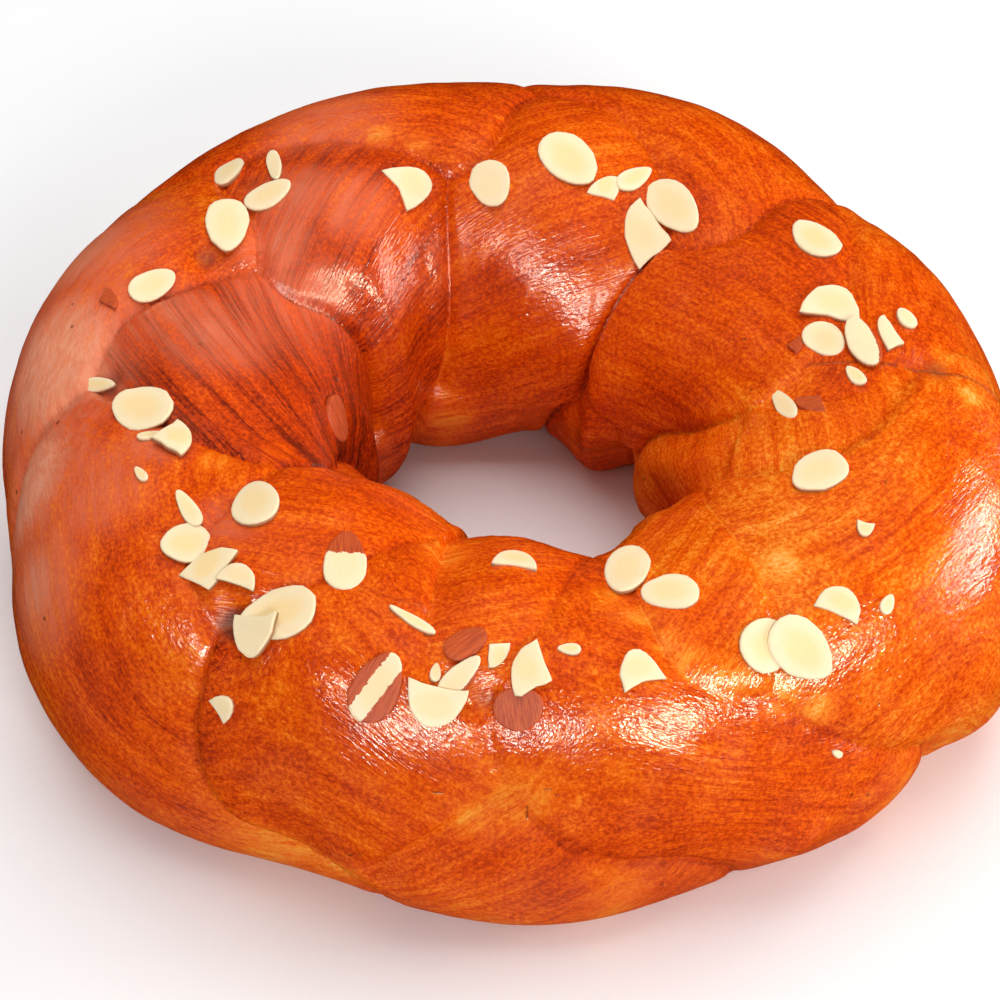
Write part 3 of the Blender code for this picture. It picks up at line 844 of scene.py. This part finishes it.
class Finish:
    """A material under construction."""

    def __init__(self, name):
        self.material = bpy.data.materials.new(name)
        self.material.use_nodes = True
        self.tree = self.material.node_tree
        self.shader = self.tree.nodes["Principled BSDF"]

    def node(self, kind, settings, inputs, output=0):
        """Adds a node with these settings and inputs, and gives back one of its outputs."""
        made = self.tree.nodes.new(kind)
        for name, value in settings.items():
            if name == "stops":
                self.fill_ramp(made.color_ramp, value)
            else:
                setattr(made, name, value)
        pairs = inputs.items() if isinstance(inputs, dict) else enumerate(inputs)
        for name, value in pairs:
            self.feed(made.inputs[name], value)
        return Value(self, made.outputs[output])

    def fill_ramp(self, ramp, stops):
        while len(ramp.elements) < len(stops):
            ramp.elements.new(0.5)
        for element, (position, colour) in zip(ramp.elements, stops):
            element.position = position
            element.color = (*colour, 1)

    def feed(self, socket, value):
        if isinstance(value, Value):
            self.tree.links.new(value.socket, socket)
        elif isinstance(value, tuple) and len(value) == 3 and socket.type == "RGBA":
            socket.default_value = (*value, 1)
        else:
            socket.default_value = value

    def surface(self, **sockets):
        """Feeds the shader: names are its sockets with underscores for spaces."""
        for name, value in sockets.items():
            self.feed(self.shader.inputs[name.replace("_", " ")], value)

    def attribute(self, name, output="Fac"):
        """A value that the mesh carries."""
        return self.node("ShaderNodeAttribute", {"attribute_name": name}, {}, output)

    def place(self):
        return self.node("ShaderNodeTexCoord", {}, {}, "Object")

    def noise(self, vector, scale, detail=2.0, rough=0.5, shift=0.0):
        inputs = {"Vector": vector, "Scale": scale, "Detail": detail, "Roughness": rough}
        settings = {"noise_dimensions": "3D"}
        if shift:
            settings = {"noise_dimensions": "4D"}
            inputs["W"] = shift
        return self.node("ShaderNodeTexNoise", settings, inputs, "Fac")

    def cells(self, vector, scale):
        return self.node("ShaderNodeTexVoronoi", {}, {"Vector": vector, "Scale": scale}, "Distance")

    def ramp(self, value, stops):
        return self.node("ShaderNodeValToRGB", {"stops": stops}, [value], "Color")

    def mix(self, share, first, second):
        made = self.node("ShaderNodeMix", {"data_type": "RGBA"}, {0: share}, 2)
        node = made.socket.node
        self.feed(node.inputs[6], first)
        self.feed(node.inputs[7], second)
        return made

    def bump(self, height, distance, strength=1.0, normal=None):
        inputs = {"Height": height, "Distance": distance, "Strength": strength}
        if normal is not None:
            inputs["Normal"] = normal
        return self.node("ShaderNodeBump", {}, inputs, "Normal")


# Colours of the crust from hardly baked to burnt.
CRUST_COLOURS = (
    (0.00, (0.93, 0.50, 0.14)),  # stretched dough, hardly baked
    (0.18, (0.92, 0.29, 0.020)),
    (0.38, (0.84, 0.130, 0.002)),
    (0.58, (0.66, 0.060, 0.001)),
    (0.78, (0.42, 0.030, 0.002)),
    (1.00, (0.16, 0.014, 0.004)),  # burnt
)
# Dark for specks and cracks, and painted shade in the hollows of the pits.
DARK_SPECK_AND_SHADE = (0.085, 0.018, 0.006)
# The powdery colour of thin glaze, which also paints sheen on the left flank, and a paler painted
# sheen of reflected light there.
DUST_AND_SHEEN_COLOUR, PAINTED_FLANK_SHEEN = (0.76, 0.165, 0.075), (0.90, 0.36, 0.21)
GLAZE_TINT = (1.0, 0.84, 0.68, 1.0)

# How fast the patterns of a strand change along it, across it and up, per millimetre.
BANDS = (0.022, 0.16, 0.16)
STREAKS = (0.03, 0.42, 0.42)
LINES = (0.07, 1.5, 1.5)
GRAIN = (0.5, 1.5, 1.5)
GROOVES = (0.02, 0.5, 0.5)
WRINKLES = (0.45, 1.0, 1.0)

# How fast the patterns of the whole crust change, per metre.
PATCHES, BLOTCHES, CRUMBS = 16.0, 38.0, 800.0
STREAKED_AREAS, SPECKED_AREAS, THIN_AREAS = 20.0, 30.0, 60.0
SPECKS, SKIN_BUMPS = 95.0, 230.0

# How much each pattern darkens the crust, or lightens it, on the scale of its colours.
BAND_TOAST, STREAK_TOAST, LINE_TOAST = 0.4, 0.42, 0.17
BLOTCH_TOAST, PATCH_TOAST, CRUMB_TOAST, FLECK_TOAST = 0.42, 0.34, 0.22, 0.11
GROOVE_TOAST, GROOVE_TOAST_DARK_LOBES = 0.03, 0.2
# Painted shade in the creases beside the seams, and a paler foot.
SEAM_SHADE_TOAST, FOOT_TOAST = 0.14, 0.06
SEAM_PALE, SEAM_PALE_CRUMBS = 0.1, 0.16
STRETCHED_PALE, STRETCHED_PALE_CRUMBS = 0.2, 0.22

# Depths of the relief in metres: ridges along the strands, and everything smaller.
RIDGE_DEPTH, SKIN_DEPTH = 0.00028, 0.00026
FOOT_HEIGHT = (0.004, 0.045)  # between these heights the pale foot ends


def crust_patterns(finish):
    """The patterns that the crust's colour, relief and gloss are made of."""
    place = finish.place()
    strand = finish.attribute("strand", "Vector")
    names = ("seam", "bake", "pale", "pit", "crack", "dust", "dull")
    look = SimpleNamespace(**{name: finish.attribute(name) for name in names})
    look.broad = finish.noise(strand.scaled(*BANDS), 1.0, 3.0, 0.55)
    look.streak = finish.noise(strand.scaled(*STREAKS), 1.0, 3.0, 0.6)
    look.fine = finish.noise(strand.scaled(*LINES), 1.0, 2.0, 0.6)
    look.grain = finish.noise(strand.scaled(*GRAIN), 1.0, 2.0, 0.65)
    look.wrinkles = finish.noise(strand.scaled(*WRINKLES), 1.0, 1.0, 0.5)
    thread = finish.noise(strand.scaled(*GROOVES), 1.0, 1.0, 0.5, 2.0)
    grooves = 1 - ((thread - 0.5).size() * 6.0).between(0.0, 0.5)
    look.grooves = grooves * look.broad.between(0.4, 0.55)
    look.blotch = finish.noise(place, BLOTCHES, 4.0, 0.6)
    look.patch = finish.noise(place, PATCHES, 2.0, 0.5, 3.0)
    look.mottle = finish.noise(place, CRUMBS, 2.0, 0.7)
    look.crumbs = look.mottle.between(0.34, 0.66)
    look.streaked = finish.noise(place, STREAKED_AREAS, 1.0, 0.5, 5.0).between(0.32, 0.62)
    look.skin = finish.noise(place, SKIN_BUMPS, 3.0, 0.6)
    look.thin = finish.noise(place, THIN_AREAS, 2.0, 0.6).between(0.35, 0.7)
    height = finish.node("ShaderNodeSeparateXYZ", {}, [place], "Z")
    look.foot = 1 - height.between(*FOOT_HEIGHT)
    look.hollow = look.pit.between(1.2, 4.0)
    look.cracked = 1 - (look.crack + (look.mottle - 0.5)).between(0.05, 0.7)
    specks = 1 - finish.cells(place, SPECKS).between(0.03, 0.085)
    areas = finish.noise(place, SPECKED_AREAS, 1.0, 0.5, 8.0).between(0.50, 0.62)
    look.specks = specks * areas
    return look


def crust_toast(look):
    """How dark the crust is, on the scale of CRUST_COLOURS."""
    lines = look.fine.between(0.52, 0.72) * look.streak.between(0.35, 0.6)
    flecks = look.grain.between(0.36, 0.64)
    toast = look.bake + (look.broad - 0.5) * BAND_TOAST + (look.streak - 0.5) * STREAK_TOAST
    toast = toast + lines * look.streaked * LINE_TOAST
    dark_lobes = look.bake.between(0.58, 0.66) * GROOVE_TOAST_DARK_LOBES
    toast = toast + look.grooves * (dark_lobes + GROOVE_TOAST)
    toast = toast + (look.blotch - 0.5) * BLOTCH_TOAST + (look.patch - 0.5) * PATCH_TOAST
    toast = toast + (look.crumbs - 0.5) * CRUMB_TOAST + (flecks - 0.5) * FLECK_TOAST
    stretched = look.pale.between(0.1, 0.9) * look.streak.between(0.3, 0.62)
    toast = toast - stretched * (STRETCHED_PALE + look.crumbs * STRETCHED_PALE_CRUMBS)
    pale_seam = (1 - look.seam.between(0.2, 1.6)) * look.blotch.between(0.35, 0.6)
    # Painted shade in the creases beside the seams, in patches.
    seam_shade = (1 - look.seam.between(1.0, 4.0)) * look.patch.between(0.4, 0.6)
    toast = toast + seam_shade * SEAM_SHADE_TOAST
    toast = toast - pale_seam * (SEAM_PALE + look.crumbs * SEAM_PALE_CRUMBS)
    return toast - look.foot * FOOT_TOAST


def crust_colour(finish, look):
    """The baked colour, powdery where the glaze is thin, a pale sheen of reflected light painted on
    the left flank, dark in specks and cracks, and painted shade in the pits' hollows.
    """
    colour = finish.ramp(crust_toast(look), CRUST_COLOURS)
    streaks = look.streak.between(0.35, 0.65)
    # Powdery where the glaze is thin, and on the left flank partly a painted sheen of reflected
    # light.
    dust_and_sheen_share = look.dust.between(0.08, 0.7) * (0.2 + streaks * 0.4 + look.crumbs * 0.15)
    colour = finish.mix(dust_and_sheen_share, colour, DUST_AND_SHEEN_COLOUR)
    # A paler painted sheen of reflected light on the left flank, at the strongest places.
    flank = look.dust.between(0.75, 1.7) * (0.45 + streaks * 0.3 + look.crumbs * 0.1)
    colour = finish.mix(flank, colour, PAINTED_FLANK_SHEEN)
    # Dark specks and cracks, and painted shade in the pits' hollows.
    for dark in (look.specks * 0.8, look.hollow * 0.7, look.cracked * 0.7):
        colour = finish.mix(dark, colour, DARK_SPECK_AND_SHADE)
    return colour


def crust_finish():
    """Egg-glazed crust: streaks along the strands, pale seams, dark blotches, specks and gloss."""
    finish = Finish("glazed crust")
    look = crust_patterns(finish)
    ridges = look.streak * 0.6 + look.fine * 0.4
    ridges = finish.bump(ridges, RIDGE_DEPTH, 0.3 * look.streaked + 0.25)
    low = look.grain * 0.15 + look.wrinkles * 0.8 + look.skin * 0.5 + look.mottle * 0.4
    low = low - look.specks - look.cracked - look.grooves * 0.15
    dust_rough = look.dust.between(0.2, 1.0) * 0.15
    rough = 0.15 + look.thin * 0.1 + look.foot * 0.25 + dust_rough
    finish.surface(
        Base_Color=crust_colour(finish, look),
        Roughness=rough + look.dull * 0.06 + look.hollow * 0.4,
        Normal=finish.bump(low, SKIN_DEPTH, 1.0, ridges),
        Specular_IOR_Level=0.5,
        Specular_Tint=GLAZE_TINT,
    )
    return finish.material


CREAM, HEART = (0.92, 0.74, 0.47), (0.92, 0.65, 0.28)
GRAIN_LINES, TANNED = (0.85, 0.57, 0.27), (0.86, 0.62, 0.33)
BROWN_RIM_AND_SHADE = (0.36, 0.15, 0.05)
SKIN_VEINS, SKIN = (0.40, 0.045, 0.008), (0.62, 0.105, 0.018)


def almond_finish():
    """Flaked almond: cream with a yellower heart, faint grain, and brown skin where it is left."""
    finish = Finish("flaked almond")
    flake = finish.attribute("flake", "Vector")
    place = finish.place()
    x, y = (finish.node("ShaderNodeSeparateXYZ", {}, [flake], axis) for axis in "XY")
    cloud = finish.noise(place, 140.0, 3.0, 0.55)
    heart = 1 - (x * x * 1.1 + y * y * 1.4 + (cloud - 0.5) * 0.16).between(0.02, 0.2)
    own = finish.noise(flake.scaled(0.0, 0.0, 1.0), 3.1, 0.0)
    grain = finish.noise(flake.scaled(2.5, 16.0, 1.0), 1.0, 3.0, 0.6)
    colour = finish.mix(heart * (own.between(0.35, 0.6) * 0.6 + 0.1), CREAM, HEART)
    colour = finish.mix(grain.between(0.55, 0.8) * 0.3, colour, GRAIN_LINES)
    colour = finish.mix(cloud.between(0.5, 0.8) * 0.35, colour, TANNED)
    # A brown rim low on the flake's side: partly toasted, partly painted contact shadow on the
    # crust.
    colour = finish.mix(finish.attribute("rim").between(0.35, 0.9) * 0.8, colour, BROWN_RIM_AND_SHADE)
    veins = finish.noise(flake.scaled(3.0, 34.0, 1.0), 1.0, 2.0, 0.6)
    brown = finish.mix(veins.between(0.3, 0.7), SKIN_VEINS, SKIN)
    ragged = finish.noise(place, 900.0, 2.0, 0.6)
    covered = (finish.attribute("skin") + (ragged - 0.5) * 0.12).between(-0.01, 0.01)
    finish.surface(
        Base_Color=finish.mix(covered, colour, brown),
        Roughness=0.42 + covered * 0.2,
        Normal=finish.bump(grain * 0.4 + cloud * 0.6, 0.0005, 0.35),
        Specular_IOR_Level=0.25,
        Subsurface_Weight=0.12,
        Subsurface_Radius=(0.002, 0.0014, 0.0008),
        Subsurface_Scale=1.0,
    )
    return finish.material


def plain_finish(name, colour, roughness):
    finish = Finish(name)
    finish.surface(Base_Color=colour, Roughness=roughness)
    return finish.material


# ---------------------------------------------------------------- floor, light and camera

CAMERA_PLACE = (0.6, -555.5, 625.6)
CAMERA_AIM = (-3.0, 22.1, 0.0)
CAMERA_LENS = 92.4
FLOOR_SIZE, FLOOR_DROP = 6000.0, 0.3
FLOOR_COLOUR, FLOOR_ROUGHNESS = (0.90, 0.905, 0.91), 0.6

# Soft lights: place, what each faces, its width and height in millimetres, power, colour, and what
# it gives: "light" falls on things, "gloss" shows in the glaze.
LIGHTS = (
    ((0, 500, 1950), (0, 0, 0), 2000, 2000, 32, (1.0, 0.99, 0.97), "light"),  # ceiling
    ((1500, 200, 330), (0, 0, 50), 750, 150, 12, (1.0, 0.99, 0.97), "both"),  # window on the right
    ((480, -1440, 960), (0, 0, 50), 700, 400, 11, (1.0, 0.98, 0.96), "light"),  # front of the room
    ((-90, -1510, 850), (0, 0, 50), 420, 110, 26, (0.92, 0.95, 1.0), "gloss"),  # front window
    ((-650, -1080, 1140), (0, 0, 50), 300, 110, 11, (0.92, 0.95, 1.0), "gloss"),  # left window
    ((1060, -1060, 880), (0, 0, 50), 560, 120, 34, (1.0, 0.94, 0.84), "gloss"),  # warm lamp
)
ROOM_COLOUR, ROOM_STRENGTH = (0.95, 0.97, 1.0), 0.36


def aim(obj, place, target):
    obj.location = [coordinate * MM for coordinate in place]
    direction = Vector([b - a for a, b in zip(place, target)])
    obj.rotation_euler = direction.to_track_quat("-Z", "Y").to_euler()


def make_floor():
    half = FLOOR_SIZE / 2
    corners = np.array([(-half, -half, 0), (half, -half, 0), (half, half, 0), (-half, half, 0)])
    floor = add_mesh("floor", corners - (0, 0, FLOOR_DROP), [(0, 1, 2, 3)])
    floor.data.materials.append(plain_finish("pale floor", FLOOR_COLOUR, FLOOR_ROUGHNESS))
    floor.visible_glossy = False


def make_lights():
    for number, (place, target, width, height, power, colour, gives) in enumerate(LIGHTS):
        data = bpy.data.lights.new(f"window {number}", "AREA")
        data.shape = "RECTANGLE"
        data.size, data.size_y = width * MM, height * MM
        data.energy = power
        data.color = colour
        light = bpy.data.objects.new(data.name, data)
        bpy.context.scene.collection.objects.link(light)
        aim(light, place, target)
        light.visible_diffuse = gives != "gloss"
        light.visible_glossy = gives != "light"
    world = bpy.data.worlds.new("room")
    bpy.context.scene.world = world
    world.use_nodes = True
    sky = world.node_tree.nodes["Background"]
    sky.inputs["Color"].default_value = (*ROOM_COLOUR, 1)
    sky.inputs["Strength"].default_value = ROOM_STRENGTH
    world.cycles_visibility.glossy = False


def make_camera():
    data = bpy.data.cameras.new("camera")
    data.lens = CAMERA_LENS
    camera = bpy.data.objects.new("camera", data)
    bpy.context.scene.collection.objects.link(camera)
    aim(camera, CAMERA_PLACE, CAMERA_AIM)
    bpy.context.scene.camera = camera


def main():
    bpy.context.scene.view_settings.view_transform = "Standard"
    crust = make_crust()
    crust.data.materials.append(crust_finish())
    almonds = make_almonds()
    almonds.data.materials.append(almond_finish())
    for piece in (crust, almonds):
        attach(piece, "root")
        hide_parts("bread")
    make_floor()
    make_lights()
    make_camera()


main()
